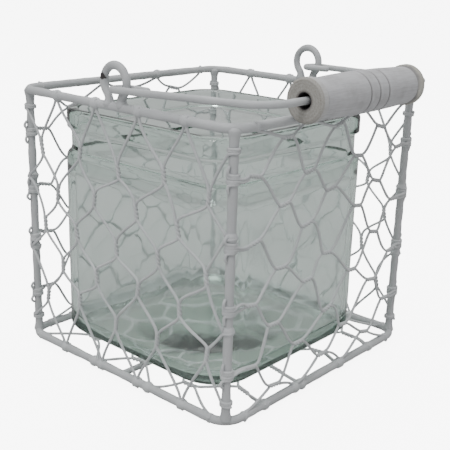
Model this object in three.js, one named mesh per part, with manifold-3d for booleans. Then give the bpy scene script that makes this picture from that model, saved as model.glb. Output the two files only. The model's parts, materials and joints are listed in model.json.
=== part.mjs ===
// A square jar lantern: a glass jar standing in a basket of painted wire and hexagonal netting, which
// hangs from a wire bail with a turned wooden grip. Millimetres, +Z up. The origin is under the middle
// of the base, on the surface that the lantern stands on. The bail lies folded over the front, -Y.
import * as THREE from "three";
import { mergeVertices } from "three/addons/utils/BufferGeometryUtils.js";
import Module from "manifold-3d";

const wasm = await Module();
wasm.setup();

// Driving dimensions
const GAP = 0.3; // between pieces that touch

const FRAME_WIDTH = 130; // between the centrelines of opposite rim wires
const RIM_SPACING = 120; // from the bottom rim's centreline to the top rim's
const RIM_BEND = 9; // centreline radius of a rim's corners
const FRAME_WIRE = 3.8; // diameter of the rims and posts
const CROSSBAR_WIRE = 3.2;

const EAR_WIRE = 3.2;
const EAR_HALF_WIDTH = 7.2; // of the eye, to the wire's centreline
const EAR_HEIGHT = 17.2; // of the eye's top above the rim's centreline
const EAR_FOOT = 3.9; // from the middle of the ear to each foot
const EAR_FOOT_HEIGHT = 1; // of the upright part of each foot
const EAR_OPENING = 50; // degrees below the eye's middle where its legs leave the circle

const BAIL_WIRE = 3;
const BAIL_RISE = 7.5; // of the pivot above the top rim's centreline
const BAIL_LIE = 1.2; // degrees above level at which the bail rests on the front rim
const BAIL_REACH = 74.5; // from the pivot to the grip's axis
const BAIL_HALF_WIDTH = 60.5; // where the arms meet the corner bends
const BAIL_BEND = 14;
const HOOK_RADIUS = 3.8; // of the hook's bend round the ear's wire
const HOOK_LENGTH = 15; // of the returned end, from the pivot

const GRIP_LENGTH = 75;
const GRIP_RADIUS = 8.8;
const GRIP_BEAD = 4.3; // length of the bead at each end
const GRIP_NECK = 0.9; // how far the barrel between the beads draws in towards them
const GRIP_CHAMFER = 0.9;
const GRIP_BORE = 6;
const GRIP_GROOVES = [-4.2, 2.3, 9.2]; // from the grip's middle
const GROOVE_DEPTH = 0.7;

const NET_THICKNESS = 1;
const NET_STRAND = 1.1; // width of a strand in the plane of the netting
const NET_BORDER = 1.2; // least width of the selvedge
const NET_BORDER_SPREAD = 0.6; // how much wider it is beside some meshes
const CELL_PITCH = 26; // between neighbouring twists of one row
const ROW_PITCH = 17.5; // between rows of twists
const TWIST_LENGTH = 7;
const CELL_WANDER = 2.6; // how far a twist strays from its even place
const SMALLEST_HOLE = 8; // square millimetres
const TURN_WALL = 0.9; // of a netting end wound round a frame wire
const TURN_WIDTH = 2;
const LAST_ROW = 3; // of twists, next to the frame wires that cross the twists
const LAST_COLUMN = 2; // of twists in an odd row, on the frame wires that lie along the twists
const STRAND_END_WIDTH = 1.6;
const TURN_BITE = 0.1; // from a strand end to the hollow of the turn that it joins
const POST_SHEET_MARGIN = 2.8; // from a post's axis to the edge of a side panel's sheet
const POST_STRAND_MARGIN = 0.4; // from a post's axis to the ends of a side panel's strands
const BASE_SHEET_MARGIN = 2.7; // the same two for the base panel, from the bottom rim's axis
const BASE_STRAND_MARGIN = 1;
const BASE_CORNER_CUT = 6; // clears the posts

const JAR_PLACE = [-2, 2.5]; // the jar stands loose, a little off the middle
const JAR_HEIGHT = 108.5;
const JAR_WALL = 3.8;
const JAR_FLOOR = 5;
const JAR_BODY = { half: 54, corner: 18, height: 90, round: 4 };
const JAR_NECK = { half: 51.5, corner: 15.5 };
const JAR_LIP = { half: 53, corner: 15.5, height: 9, round: 2 };
const JAR_CAVITY_ROUND = 8; // of the hollow's floor and shoulder
const JAR_MOUTH_DEPTH = 12; // how far the neck's hollow reaches below the shoulder's
const JOIN_DEPTH = 3; // how far joined blocks run into each other

// Dimensions that follow
const WIRE_SIDES = 8;
const wireRadius = FRAME_WIRE / 2;
const wireFlat = wireRadius * Math.cos(Math.PI / WIRE_SIDES); // from the wire's axis to a flat
const turnInner = wireRadius + GAP;
const turnOuter = turnInner + TURN_WALL;
const half = FRAME_WIDTH / 2;
const bottomRimZ = turnOuter;
const topRimZ = bottomRimZ + RIM_SPACING;
const postPlace = half - RIM_BEND * (1 - Math.SQRT1_2); // on the rims' rounded corners
const pivotZ = topRimZ + BAIL_RISE;
const bailLie = THREE.MathUtils.degToRad(BAIL_LIE);
const baseNetZ = bottomRimZ + turnOuter - NET_THICKNESS / 2;
const jarZ = baseNetZ + NET_THICKNESS / 2 + GAP;

const paint = () => new THREE.MeshStandardMaterial({ color: 0xb4b4b8, roughness: 0.6, metalness: 0.1 });
const wood = () => new THREE.MeshStandardMaterial({ color: 0xb9b8b6, roughness: 0.75, metalness: 0 });
const glass = () =>
  new THREE.MeshStandardMaterial({
    color: 0xc4d6cd,
    roughness: 0.05,
    metalness: 0,
    transparent: true,
    opacity: 0.35,
  });

const lantern = new THREE.Group();

function addPiece(name, geometry, material, place = [0, 0, 0]) {
  const mesh = new THREE.Mesh(geometry, material);
  mesh.name = name;
  mesh.position.set(...place);
  lantern.add(mesh);
  return mesh;
}

// Solids for joining and cutting

function solid(geometry) {
  const bare = geometry.clone();
  bare.deleteAttribute("normal");
  bare.deleteAttribute("uv");
  const merged = mergeVertices(bare, 1e-4);
  return new wasm.Manifold(
    new wasm.Mesh({
      numProp: 3,
      vertProperties: new Float32Array(merged.attributes.position.array),
      triVerts: new Uint32Array(merged.index.array),
    }),
  );
}

function geometryOf(manifold) {
  const mesh = manifold.getMesh();
  const geometry = new THREE.BufferGeometry();
  geometry.setAttribute("position", new THREE.BufferAttribute(new Float32Array(mesh.vertProperties), 3));
  geometry.setIndex(new THREE.BufferAttribute(new Uint32Array(mesh.triVerts), 1));
  geometry.computeVertexNormals();
  return geometry;
}

const join = (geometries) => geometryOf(geometries.map(solid).reduce((whole, piece) => whole.add(piece)));

// Wires

// The centreline of a bent wire: straight between its knots, which lie close together only in the bends.
class WirePath extends THREE.Curve {
  constructor(knots) {
    super();
    this.knots = knots;
  }

  getPoint(t, target = new THREE.Vector3()) {
    const place = t * (this.knots.length - 1);
    const index = Math.min(Math.floor(place), this.knots.length - 2);
    return target.lerpVectors(this.knots[index], this.knots[index + 1], place - index);
  }

  getPointAt(u, target) {
    return this.getPoint(u, target);
  }

  getTangentAt(u, target = new THREE.Vector3()) {
    const index = Math.round(u * (this.knots.length - 1));
    const before = this.knots[Math.max(index - 1, 0)];
    const after = this.knots[Math.min(index + 1, this.knots.length - 1)];
    return target.subVectors(after, before).normalize();
  }
}

function bentWire(knots, diameter) {
  const corners = Array.from({ length: WIRE_SIDES }, (_, side) => {
    const angle = ((side + 0.5) * 2 * Math.PI) / WIRE_SIDES;
    return new THREE.Vector2(Math.cos(angle), Math.sin(angle)).multiplyScalar(diameter / 2);
  });
  return new THREE.ExtrudeGeometry(new THREE.Shape(corners), {
    steps: knots.length - 1,
    extrudePath: new WirePath(knots),
  });
}

// A straight wire along Z, with a flat facing each of X and Y.
function straightWire(length, diameter) {
  const geometry = new THREE.CylinderGeometry(diameter / 2, diameter / 2, length, WIRE_SIDES);
  return geometry.rotateY(Math.PI / WIRE_SIDES).rotateX(Math.PI / 2);
}

// Points of an arc in the XY plane, its ends included.
function arcPoints(centre, radius, from, to, steps) {
  return Array.from({ length: steps + 1 }, (_, step) => {
    const angle = from + ((to - from) * step) / steps;
    return [centre[0] + radius * Math.cos(angle), centre[1] + radius * Math.sin(angle)];
  });
}

// The outline of a square with round corners.
function roundedSquare(halfWidth, corner, Kind = THREE.Shape) {
  const inner = halfWidth - corner;
  const outline = new Kind();
  outline.moveTo(halfWidth, -inner);
  outline.absarc(inner, inner, corner, 0, Math.PI / 2);
  outline.absarc(-inner, inner, corner, Math.PI / 2, Math.PI);
  outline.absarc(-inner, -inner, corner, Math.PI, 1.5 * Math.PI);
  outline.absarc(inner, -inner, corner, 1.5 * Math.PI, 2 * Math.PI);
  return outline;
}

// A rim is one wire bent to a square: a flat ring whose bevels give it the wire's eight-sided section.
function rim() {
  const flat = wireFlat * Math.tan(Math.PI / WIRE_SIDES);
  const ring = roundedSquare(half + flat, RIM_BEND + flat);
  ring.holes.push(roundedSquare(half - flat, RIM_BEND - flat, THREE.Path));
  const geometry = new THREE.ExtrudeGeometry(ring, {
    depth: 2 * flat,
    bevelThickness: wireFlat - flat,
    bevelSize: wireFlat - flat,
    bevelSegments: 1,
    curveSegments: 3,
  });
  return geometry.translate(0, 0, -flat);
}

function addFrame() {
  addPiece("bottom_rim", rim(), paint(), [0, 0, bottomRimZ]);
  addPiece("top_rim", rim(), paint(), [0, 0, topRimZ]);
  const postLength = RIM_SPACING - 2 * (wireFlat + GAP);
  for (const [depthName, y] of [["front", -1], ["back", 1]]) {
    for (const [sideName, x] of [["left", -1], ["right", 1]]) {
      const place = [x * postPlace, y * postPlace, bottomRimZ + RIM_SPACING / 2];
      addPiece(`post_${depthName}_${sideName}`, straightWire(postLength, FRAME_WIRE), paint(), place);
    }
  }
  const barFlat = (CROSSBAR_WIRE / 2) * Math.cos(Math.PI / WIRE_SIDES);
  const bar = straightWire(2 * (half - wireFlat - GAP), CROSSBAR_WIRE).rotateY(Math.PI / 2);
  addPiece("base_crossbar", bar, paint(), [0, 0, barFlat]);
}

// An ear is an eye of wire whose two feet stand on the top rim. It lies in the YZ plane.
function ear() {
  const eyeZ = EAR_HEIGHT - EAR_HALF_WIDTH;
  const opening = THREE.MathUtils.degToRad(EAR_OPENING);
  const eye = arcPoints([0, eyeZ], EAR_HALF_WIDTH, -opening, Math.PI + opening, 16);
  const footZ = wireFlat + GAP;
  const foot = (y) => [[y, footZ], [y, footZ + EAR_FOOT_HEIGHT]];
  const outline = [...foot(EAR_FOOT), ...eye, ...foot(-EAR_FOOT).reverse()];
  return bentWire(outline.map(([y, z]) => new THREE.Vector3(0, y, z)), EAR_WIRE);
}

// The bail lies in the XY plane with its pivot on the X axis: one wire, each end hooked round an ear.
function bail() {
  const outer = half + HOOK_RADIUS;
  const inner = half - HOOK_RADIUS;
  const hook = arcPoints([half, -HOOK_RADIUS], HOOK_RADIUS, Math.PI, 0, 8);
  const armStart = new THREE.Vector2(outer, -HOOK_RADIUS);
  const armEnd = new THREE.Vector2(BAIL_HALF_WIDTH, BAIL_BEND - BAIL_REACH);
  const lean = armStart.x - armEnd.x;
  const armAngle = Math.atan2(lean, armStart.y - armEnd.y);
  const bendCentre = [BAIL_HALF_WIDTH - BAIL_BEND * Math.cos(armAngle), BAIL_BEND - BAIL_REACH];
  const bend = arcPoints(bendCentre, BAIL_BEND, -armAngle, -Math.PI / 2, 7);
  const side = [[inner, -HOOK_LENGTH], ...hook, ...bend];
  const otherSide = side.map(([x, y]) => [-x, y]).reverse();
  return bentWire([...side, ...otherSide].map(([x, y]) => new THREE.Vector3(x, y, 0)), BAIL_WIRE);
}

function addEarsAndBail() {
  addPiece("bail_ear_left", ear(), paint(), [-half, 0, topRimZ]);
  addPiece("bail_ear_right", ear(), paint(), [half, 0, topRimZ]);
  addPiece("bail_wire", bail(), paint(), [0, 0, pivotZ]).rotation.x = -bailLie;
  const gripPlace = [0, -BAIL_REACH * Math.cos(bailLie), pivotZ + BAIL_REACH * Math.sin(bailLie)];
  addPiece("wood_grip", grip(), wood(), gripPlace);
}

// The grip is a turned wooden barrel between two beads, with a bore much wider than the bail's wire. It
// lies along X.
function grip() {
  const end = GRIP_LENGTH / 2;
  const neck = end - GRIP_BEAD;
  const barrel = (x) => [GRIP_RADIUS - GRIP_NECK * (x / neck) ** 2, x];
  const groove = (x) => {
    const [radius] = barrel(x);
    return [[radius, x - GROOVE_DEPTH], [radius - GROOVE_DEPTH, x], [radius, x + GROOVE_DEPTH]];
  };
  const bead = [
    [GRIP_RADIUS, neck + GROOVE_DEPTH],
    [GRIP_RADIUS, end - GRIP_CHAMFER],
    [GRIP_RADIUS - GRIP_CHAMFER, end],
    [GRIP_BORE / 2, end],
  ];
  const profile = [
    ...bead.map(([radius, x]) => [radius, -x]).reverse(),
    ...[-neck, -neck / 2].map(barrel),
    ...GRIP_GROOVES.flatMap(groove),
    ...[neck / 2, neck].map(barrel),
    ...bead,
  ];
  profile.push(profile[0]);
  const points = profile.map(([radius, x]) => new THREE.Vector2(radius, x));
  return new THREE.LatheGeometry(points, 20).rotateZ(-Math.PI / 2);
}

// Netting: a flat sheet with a six-sided hole for each mesh, in a plane (u, v) with its twists along v.

// An even-looking scatter between -1 and 1 that depends only on the place in the netting.
function scatter(column, row, seed) {
  const wave = Math.sin(column * 12.9898 + row * 78.233 + seed * 37.719) * 43758.5453;
  return 2 * (wave - Math.floor(wave)) - 1;
}

// The two ends of a twist.
function twist(column, row, seed) {
  const u = (column + (row % 2 ? 0.5 : 0)) * CELL_PITCH + CELL_WANDER * scatter(column, row, seed);
  const v = row * ROW_PITCH + CELL_WANDER * scatter(column, row, seed + 1);
  const tilt = 0.35 * CELL_WANDER * scatter(column, row, seed + 2);
  return {
    top: [u + tilt, v + TWIST_LENGTH / 2],
    bottom: [u - tilt, v - TWIST_LENGTH / 2],
  };
}

// The part of a convex outline on the left of the line from a to b, that line first moved left.
function clip(outline, a, b, shift) {
  const length = Math.hypot(b[0] - a[0], b[1] - a[1]);
  const side = ([u, v]) => ((b[0] - a[0]) * (v - a[1]) - (b[1] - a[1]) * (u - a[0])) / length - shift;
  const kept = [];
  outline.forEach((point, index) => {
    const next = outline[(index + 1) % outline.length];
    const here = side(point);
    const there = side(next);
    if (here >= 0) kept.push(point);
    if (here >= 0 !== there >= 0) {
      const share = here / (here - there);
      kept.push([point[0] + share * (next[0] - point[0]), point[1] + share * (next[1] - point[1])]);
    }
  });
  return kept;
}

// The corners of the mesh between two neighbouring twists of a row, anticlockwise.
function meshCorners(column, row, seed) {
  const left = twist(column, row, seed);
  const right = twist(column + 1, row, seed);
  const between = row % 2 ? column + 1 : column;
  const above = twist(between, row + 1, seed);
  const below = twist(between, row - 1, seed);
  return [left.top, left.bottom, below.top, right.bottom, right.top, above.bottom];
}

function nettingSheet(halfU, halfV, cut, twistsAlongU, seed) {
  const rows = Math.ceil(Math.max(halfU, halfV) / ROW_PITCH) + 1;
  const columns = Math.ceil(Math.max(halfU, halfV) / CELL_PITCH) + 1;
  const frame = [
    [-halfU, cut - halfV],
    [cut - halfU, -halfV],
    [halfU - cut, -halfV],
    [halfU, cut - halfV],
    [halfU, halfV - cut],
    [halfU - cut, halfV],
    [cut - halfU, halfV],
    [-halfU, halfV - cut],
  ];
  const field = (border) => frame.map(([u, v]) => [u * (1 - border / halfU), v * (1 - border / halfV)]);
  const sheet = new THREE.Shape(frame.map(([u, v]) => new THREE.Vector2(u, v)));
  for (let row = -rows; row <= rows; row++) {
    for (let column = -columns; column <= columns; column++) {
      let corners = meshCorners(column, row, seed);
      if (twistsAlongU) corners = corners.map(([u, v]) => [v, u]).reverse();
      let hole = field(NET_BORDER + NET_BORDER_SPREAD * Math.abs(scatter(column, row, seed + 3)));
      corners.forEach((corner, index) => {
        hole = clip(hole, corner, corners[(index + 1) % corners.length], NET_STRAND / 2);
      });
      const points = hole.map(([u, v]) => new THREE.Vector2(u, v));
      if (points.length < 3 || Math.abs(THREE.ShapeUtils.area(points)) < SMALLEST_HOLE) continue;
      sheet.holes.push(new THREE.Path(points));
    }
  }
  const geometry = new THREE.ExtrudeGeometry(sheet, { depth: NET_THICKNESS, bevelEnabled: false });
  return geometry.translate(0, 0, -NET_THICKNESS / 2);
}

// A netting end wound round a frame wire that runs along X.
function turn() {
  const sides = WIRE_SIDES;
  const corner = 1 / Math.cos(Math.PI / sides);
  const w = TURN_WIDTH / 2;
  const [inner, outer] = [turnInner * corner, turnOuter * corner];
  const profile = [[inner, -w], [outer, -w], [outer, w], [inner, w], [inner, -w]];
  const points = profile.map(([radius, x]) => new THREE.Vector2(radius, x));
  return new THREE.LatheGeometry(points, sides).rotateY(Math.PI / sides).rotateZ(-Math.PI / 2);
}

// The strand that runs along u from a sheet's edge to its turn.
function strandEnd(edge, end) {
  const start = edge - NET_BORDER;
  const geometry = new THREE.BoxGeometry(end - start, STRAND_END_WIDTH, NET_THICKNESS);
  return geometry.translate((start + end) / 2, 0, 0);
}

// Where the netting is wound round the frame wire on one side of it (1 or -1), measured along the wire:
// at each of its outermost twists.
function turnPlaces(crossesTwists, side, seed) {
  const middle = (column, row, axis) => {
    const { top, bottom } = twist(column, row, seed);
    return (top[axis] + bottom[axis]) / 2;
  };
  if (crossesTwists) return [-2, -1, 0, 1].map((column) => middle(column, side * LAST_ROW, 0));
  return [-1, 1].map((row) => middle(side > 0 ? LAST_COLUMN : -LAST_COLUMN - 1, row, 1));
}

// One panel, its turns and strand ends joined: u across, v up the panel, w out of it. The edges that
// cross u and those that cross v each say how far out the sheet's edge, the strands' ends and the frame
// wire's axis are, and the axis's w (depth).
function nettingPanel(crossU, crossV, cut, twistsAlongU, seed) {
  const pieces = [nettingSheet(crossU.edge, crossV.edge, cut, twistsAlongU, seed)];
  for (const [edges, quarterTurns] of [[crossU, 0], [crossV, 1], [crossU, 2], [crossV, 3]]) {
    const sign = quarterTurns === 1 || quarterTurns === 2 ? -1 : 1; // the quarter turns reverse two edges
    const crossesTwists = (quarterTurns % 2 === 0) === twistsAlongU;
    for (const place of turnPlaces(crossesTwists, quarterTurns < 2 ? 1 : -1, seed)) {
      const wound = turn().rotateZ(Math.PI / 2).translate(edges.wire, 0, edges.depth);
      for (const piece of [strandEnd(edges.edge, edges.end), wound]) {
        pieces.push(piece.translate(0, sign * place, 0).rotateZ((quarterTurns * Math.PI) / 2));
      }
    }
  }
  return join(pieces);
}

function addNetting() {
  const sideOut = postPlace + wireRadius + GAP + NET_THICKNESS / 2; // from the middle to a side panel
  const middleZ = bottomRimZ + RIM_SPACING / 2;
  const rims = {
    edge: RIM_SPACING / 2 - turnOuter - GAP,
    end: RIM_SPACING / 2 - turnInner - TURN_BITE,
    wire: RIM_SPACING / 2,
    depth: half - sideOut,
  };
  const posts = {
    edge: postPlace - POST_SHEET_MARGIN,
    end: postPlace - POST_STRAND_MARGIN,
    wire: postPlace,
    depth: postPlace - sideOut,
  };
  const sides = ["front", "right", "back", "left"];
  sides.forEach((side, index) => {
    const panel = nettingPanel(posts, rims, 0, index % 2 === 0, index + 1);
    panel.rotateX(Math.PI / 2).translate(0, -sideOut, middleZ).rotateZ((index * Math.PI) / 2);
    addPiece(`netting_${side}`, panel, paint());
  });
  const baseSide = {
    edge: half - BASE_SHEET_MARGIN,
    end: half - BASE_STRAND_MARGIN,
    wire: half,
    depth: bottomRimZ - baseNetZ,
  };
  const base = nettingPanel(baseSide, baseSide, BASE_CORNER_CUT, false, sides.length + 1);
  addPiece("netting_base", base, paint(), [0, 0, baseNetZ]);
}

// The jar: a square pressed-glass body, a narrower neck and a thick lip, hollow and open at the top.

function squareBlock(halfWidth, corner, from, to, round = 0) {
  const geometry = new THREE.ExtrudeGeometry(roundedSquare(halfWidth - round, corner - round), {
    depth: to - from - 2 * round,
    bevelEnabled: round > 0,
    bevelThickness: round,
    bevelSize: round,
    bevelSegments: 2,
    curveSegments: 3,
  });
  return geometry.translate(0, 0, from + round);
}

function addJar() {
  const lipZ = JAR_HEIGHT - JAR_LIP.height;
  const neckFrom = JAR_BODY.height - JOIN_DEPTH;
  const outside = [
    squareBlock(JAR_BODY.half, JAR_BODY.corner, 0, JAR_BODY.height, JAR_BODY.round),
    squareBlock(JAR_NECK.half, JAR_NECK.corner, neckFrom, lipZ + JOIN_DEPTH),
    squareBlock(JAR_LIP.half, JAR_LIP.corner, lipZ, JAR_HEIGHT, JAR_LIP.round),
  ];
  const inside = (part) => [part.half - JAR_WALL, part.corner - JAR_WALL];
  const cavityTop = JAR_BODY.height - JAR_WALL;
  const mouthFrom = cavityTop - JAR_MOUTH_DEPTH;
  const cavity = solid(squareBlock(...inside(JAR_BODY), JAR_FLOOR, cavityTop, JAR_CAVITY_ROUND));
  const mouth = solid(squareBlock(...inside(JAR_NECK), mouthFrom, JAR_HEIGHT + JOIN_DEPTH));
  const jar = solid(join(outside)).subtract(cavity).subtract(mouth);
  addPiece("glass_jar", geometryOf(jar), glass(), [...JAR_PLACE, jarZ]);
}

addFrame();
addEarsAndBail();
addNetting();
addJar();

export default lantern;
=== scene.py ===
"""The looks of a square jar lantern: a pressed-glass jar in a basket of painted wire and hexagonal netting,
with a wire bail and a turned wooden grip. Lengths are in millimetres until a mesh is made, and metres after.
"""

import math

import bpy
import numpy as np
from mathutils import Matrix, Vector
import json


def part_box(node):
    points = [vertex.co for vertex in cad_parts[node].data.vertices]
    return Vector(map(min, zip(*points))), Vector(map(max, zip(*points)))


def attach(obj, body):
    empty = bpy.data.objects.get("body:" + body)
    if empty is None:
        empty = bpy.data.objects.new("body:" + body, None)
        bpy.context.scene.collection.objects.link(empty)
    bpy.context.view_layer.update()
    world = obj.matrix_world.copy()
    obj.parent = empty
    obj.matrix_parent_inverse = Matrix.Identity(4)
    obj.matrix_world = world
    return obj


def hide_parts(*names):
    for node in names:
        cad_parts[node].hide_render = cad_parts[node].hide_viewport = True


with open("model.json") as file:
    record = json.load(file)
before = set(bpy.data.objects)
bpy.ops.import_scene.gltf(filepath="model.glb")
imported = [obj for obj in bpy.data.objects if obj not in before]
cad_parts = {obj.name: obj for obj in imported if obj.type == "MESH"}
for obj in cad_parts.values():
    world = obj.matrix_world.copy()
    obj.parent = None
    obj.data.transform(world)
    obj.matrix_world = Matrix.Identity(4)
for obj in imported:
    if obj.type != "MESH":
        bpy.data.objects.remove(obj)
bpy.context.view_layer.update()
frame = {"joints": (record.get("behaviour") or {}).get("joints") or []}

MM = 0.001  # metres in a millimetre

# Details that the frame doesn't hold
NET_WIRE = 1.25  # diameter of the netting's wire
TWIST_RADIUS = 0.52  # from a twist's axis to each of its two wires
TWIST_TURNS = 2
CELL_PITCH = 26  # the netting's pattern is the frame's
ROW_PITCH = 17.5
TWIST_LENGTH = 7
CELL_WANDER = 2.6
LAST_ROW = 3  # of twists, next to the frame wires that cross the twists
LAST_COLUMN = 2  # on each side of the middle, counted in every second row
STRAND_BOW = 1.2  # how far a strand may bow between two twists
STRAND_HANDLE = 0.12  # share of a strand's length over which it leaves a twist's direction
NET_STAND_OFF = 0.8  # from a post's surface to the netting's middle plane
BASE_NET_SINK = 0.25  # keeps the twists under the jar clear of it
CORNER_HOLD = 9  # from a corner to where the outermost wires end on the frame wire beside them
# A winding's start, as a turn about the frame wire (half pi is outside, pi the panel's middle), its number of
# turns, and how far its wire's centre stands off the frame wire's surface, in diameters of the netting's
# wire. Paint has filled the windings on the rims.
RIM_WINDING = {"start": 0.95 * math.pi, "turns": 1.4, "off": -0.15}
POST_WINDING = {"start": 0.6 * math.pi, "turns": 2.3, "off": 0.42}
WINDING_STEPS = 14  # to a turn
LOOP_BULGE = (0.8, 0.6)  # how far a loose end bulges off its post, and how much that varies
LOOP_REACH = 3.2  # along the post
LUMP_REACH = 2.3  # half the length of a lump of paint over wires wound round the frame
LUMP_HEIGHT = 0.75
NET_LUMP = 0.06  # unevenness of the paint on the netting

FRAME_WIRE_SIDES = 20
RIM_BEND = 9  # centreline radius of a rim's corners
POST_BITE = 0.55  # from a rim's centre to a post's end, in radii of the rim's wire
CROSSBAR_WIRE = 2.9
EAR_WIRE = 3.5
EAR_FOOT = 3.9  # from the middle of an ear to each foot
EAR_LEG = 2.4  # height of its straight legs
EAR_OPENING = math.radians(50)  # below the eye's middle, where its legs leave the circle
BAIL_WIRE = 3.0
SMALL_WIRE_SIDES = 18  # round the ears' and the bail's wire
BAIL_HALF_WIDTH = 60.5  # where the arms meet the corner bends
BAIL_BEND = 14
HOOK_RADIUS = 3.8
HOOK_LENGTH = 15
WELD_SWELL = 0.75  # how far a weld swells the wire that it holds
WELD_REACH = 1.6
PAINT_LUMP = 0.07  # unevenness of the thick paint
WIRE_TONE = 0.455
NETTING_TONE = 0.5
DIRT = (0.27, 0.265, 0.27)
BARE_WIRE = (0.035, 0.03, 0.03)

GRIP_BORE = 6
GRIP_BEAD = 4.3  # length of the bead at each end
GRIP_NECK = 0.9  # how far the barrel between the beads draws in towards them
GRIP_CHAMFER = 0.9
GRIP_GROOVES = [-4.2, 2.3, 9.2]  # from the grip's middle
GROOVE_HALF_WIDTH = 0.6
GROOVE_DEPTH = 0.75
NECK_GROOVE_HALF_WIDTH = 0.45  # of the groove between the barrel and each bead
GRIP_WAVE = 0.06  # unevenness of the turned wood

JAR_BODY = {"half": 54, "corner": 18, "height": 90, "round": 4}
JAR_FOOT_CORNER = 22  # the foot is a little rounder than the body
JAR_NECK = {"half": 51.5, "corner": 15.5}
JAR_LIP = {"half": 53, "corner": 15.5, "height": 9, "round": 2}
JAR_LIP_EASE = 1.2  # round of the lip's lower edge
JAR_MOUTH_ROUND = 1.6
JAR_SHOULDER_DROP = 9  # inside, from the neck to the full width
JAR_WALL = 3.8
JAR_FLOOR = 5
JAR_DOME = {"flat": 13, "reach": 36, "rise": 3.4}  # the floor falls away all round its flat middle
JAR_HEEL = {"inset": 6, "rise": 8, "corner": 32}  # between the low edge of the floor and the walls
GLASS_WAVE = 0.22  # unevenness of the pressed glass inside
GLASS_ABSORPTION = (0.0, 0.52, 0.28)  # what the glass lets through as it gets thicker
GLASS_DENSITY = 24
UNDERSIDE_ROUGHNESS = 0.24

CAMERA_ANGLES = (-48.568, 17.355, 1.69)  # azimuth, elevation and roll in degrees
CAMERA_PLACE = (-0.2897, -0.2597, 0.1804)  # metres
CAMERA_SENSOR = 36  # its width
CAMERA_LENS = 67.11  # focal length

FLOOR_REACH = 9  # metres
FLOOR_WHITE = (0.9, 0.9, 0.9)
FLOOR_SHADE = (0.2, 0.25, 0.215)  # under the lantern, seen through the glass
FLOOR_GLOW = 7.0
BACKDROP_GLOW = 7.5
DOME_STRENGTH = 1.0
SOFT_BOXES = (  # name, place in metres, width in metres, power in watts
    ("key", (-0.9, -0.25, 1.2), 0.4, 8),
    ("top", (0.2, 0.3, 1.6), 1.4, 12),
)
SOFT_BOX_AIM = Vector((0, 0, 0.06))  # metres


def box_mm(node):
    low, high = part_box(node)
    return np.array(low) / MM, np.array(high) / MM


def joint_place(name):
    return np.array(next(joint for joint in frame["joints"] if joint["name"] == name)["pos_m"]) / MM


# Places from the frame
top_low, top_high = box_mm("top_rim")
bottom_low, bottom_high = box_mm("bottom_rim")
wire_flat = (top_high[2] - top_low[2]) / 2  # the frame's wires are eight-sided
wire_radius = wire_flat / math.cos(math.pi / 8)
half = top_high[0] - wire_flat
top_z = (top_high[2] + top_low[2]) / 2
bottom_z = (bottom_high[2] + bottom_low[2]) / 2
middle_z = (top_z + bottom_z) / 2
post_place = half - RIM_BEND * (1 - math.sqrt(0.5))
side_out = post_place + wire_radius + NET_STAND_OFF
jar_low, jar_high = box_mm("glass_jar")
pivot = joint_place("bail_swing")
grip_axis = joint_place("grip_spin")


# ---------------------------------------------------------------- camera

def add_camera():
    """A short telephoto view from above the front left corner."""
    azimuth, elevation, roll = (math.radians(angle) for angle in CAMERA_ANGLES)
    back = Vector((
        math.sin(azimuth) * math.cos(elevation),
        -math.cos(azimuth) * math.cos(elevation),
        math.sin(elevation),
    ))
    level = Vector((math.cos(azimuth), math.sin(azimuth), 0))
    upright = back.cross(level)
    right = math.cos(roll) * level + math.sin(roll) * upright
    up = back.cross(right)
    data = bpy.data.cameras.new("camera")
    data.sensor_width = CAMERA_SENSOR
    data.lens = CAMERA_LENS
    data.clip_start = 0.01
    camera = bpy.data.objects.new("camera", data)
    bpy.context.scene.collection.objects.link(camera)
    turn = Matrix((right, up, back)).transposed().to_4x4()
    camera.matrix_world = Matrix.Translation(CAMERA_PLACE) @ turn
    bpy.context.scene.camera = camera


# ---------------------------------------------------------------- meshes

def waves(points, seed, length):
    """A smooth unevenness between about -1 and 1: a few crossing waves of about the given length."""
    total = np.zeros(len(points))
    for index in range(5):
        angle = seed * 1.7 + index * 2.4
        tilt = seed * 0.9 + index * 1.1
        direction = np.array([
            math.cos(angle) * math.cos(tilt),
            math.sin(angle) * math.cos(tilt),
            math.sin(tilt),
        ])
        stretch = 2 * math.pi / length * (0.7 + 0.35 * index)
        total += np.sin(points @ direction * stretch + seed + 1.3 * index) / (1 + 0.3 * index)
    return total / 2.6


def grid_faces(rings, sides, closed):
    """Quads of a tube whose rings of vertices are numbered one after another."""
    ring = np.arange(rings if closed else rings - 1)
    side = np.arange(sides)
    first = (ring[:, None] * sides + side).ravel()
    second = (ring[:, None] * sides + (side + 1) % sides).ravel()
    after = ((ring + 1) % rings)[:, None]
    third = (after * sides + (side + 1) % sides).ravel()
    fourth = (after * sides + side).ravel()
    return np.stack([first, second, third, fourth], axis=1).tolist()


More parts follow.
